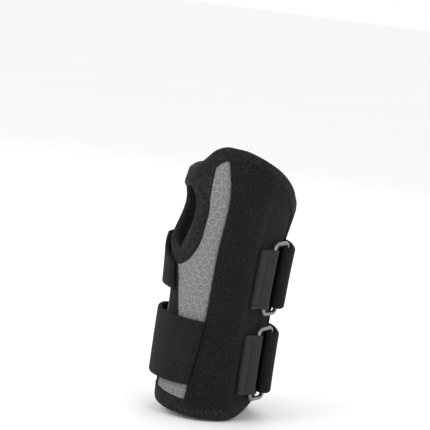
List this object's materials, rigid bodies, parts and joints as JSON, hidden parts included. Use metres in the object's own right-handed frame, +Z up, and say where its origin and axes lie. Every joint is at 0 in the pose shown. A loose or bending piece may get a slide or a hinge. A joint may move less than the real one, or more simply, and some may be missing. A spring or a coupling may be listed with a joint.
{
  "type": "wrist splint",
  "caption": "Right-hand wrist splint: fabric sleeve with thumb hole, palmar stay in a pocket, and straps that pass through wire rings and fold back.",
  "frame": {"origin": "middle of the overall box, on the plane of the proximal hem", "axes": "+Z up the forearm towards the fingers, +X dorsal, +Y ulnar, thumb hole towards -Y"},
  "size_m": [0.0744, 0.0854, 0.1587],
  "materials": {
    "mesh": "grey spacer-knit laminate with a fine honeycomb of pores",
    "loop": "black brushed-loop laminate",
    "band": "black elastic loop band",
    "binding": "black fuzzy binding tape",
    "webbing": "tightly woven nylon webbing, slight sheen",
    "hook": "moulded hook tape",
    "ring": "satin nickel-plated wire",
    "stay_aluminium": "brushed sheet",
    "stay_steel": "spring steel strip"
  },
  "bodies": {
    "sleeve": {"ulnar_panel": "loop", "ulnar_mesh_panel": "mesh", "palmar_panel": "mesh", "radial_mesh_panel": "mesh", "dorsal_panel": "loop", "proximal_binding": "binding", "distal_binding": "binding", "ulnar_edge_binding": "binding", "dorsal_edge_binding": "binding", "thumb_hole_binding": "binding", "dorsal_overlay": "loop", "radial_stay": "stay_steel", "ulnar_stay": "stay_steel", "ulnar_stay_cover": "binding", "palmar_stay_pocket": "loop", "lower_ring_keeper": "webbing", "upper_ring_keeper": "webbing", "lower_band": "band", "upper_band": "band"},
    "stay": {"palmar_stay": "stay_aluminium"},
    "lower_ring_body": {"lower_ring": "ring", "lower_band_fold": "band"},
    "lower_tail_body": {"lower_tail": "band"},
    "lower_tail_end_body": {"lower_tail_end": "band", "lower_hook_patch": "hook"},
    "upper_ring_body": {"upper_ring": "ring", "upper_band_fold": "band"},
    "upper_tail_body": {"upper_tail": "band"},
    "upper_tail_end_body": {"upper_tail_end": "band", "upper_hook_patch": "hook"}
  },
  "joints": [
    {"name": "palmar_stay_slide", "type": "hinge", "parent": "sleeve", "child": "stay", "pos_m": [1.0967, 0, 0], "axis": [0, 1, 0], "range_deg": [0, 5.5]},
    {"name": "lower_ring_tilt", "type": "hinge", "parent": "sleeve", "child": "lower_ring_body", "pos_m": [0.02755, -0.00386, 0.03354], "axis": [-0.0314, 0, -0.9995], "range_deg": [0, 30]},
    {"name": "lower_tail_lift", "type": "hinge", "parent": "lower_ring_body", "child": "lower_tail_body", "pos_m": [0.02711, 0.01102, 0.03356], "axis": [-0.0314, 0, -0.9995], "range_deg": [0, 70]},
    {"name": "lower_tail_end_peel", "type": "hinge", "parent": "lower_tail_body", "child": "lower_tail_end_body", "pos_m": [0.0099, 0.03724, 0.0341], "axis": [-0.0314, 0, -0.9995], "range_deg": [0, 60]},
    {"name": "upper_ring_tilt", "type": "hinge", "parent": "sleeve", "child": "upper_ring_body", "pos_m": [0.03032, -0.00386, 0.08403], "axis": [-0.0786, 0, -0.9969], "range_deg": [0, 30]},
    {"name": "upper_tail_lift", "type": "hinge", "parent": "upper_ring_body", "child": "upper_tail_body", "pos_m": [0.02989, 0.01102, 0.08406], "axis": [-0.0786, 0, -0.9969], "range_deg": [0, 70]},
    {"name": "upper_tail_end_peel", "type": "hinge", "parent": "upper_tail_body", "child": "upper_tail_end_body", "pos_m": [0.01272, 0.03724, 0.08542], "axis": [-0.0786, 0, -0.9969], "range_deg": [0, 60]}
  ]
}
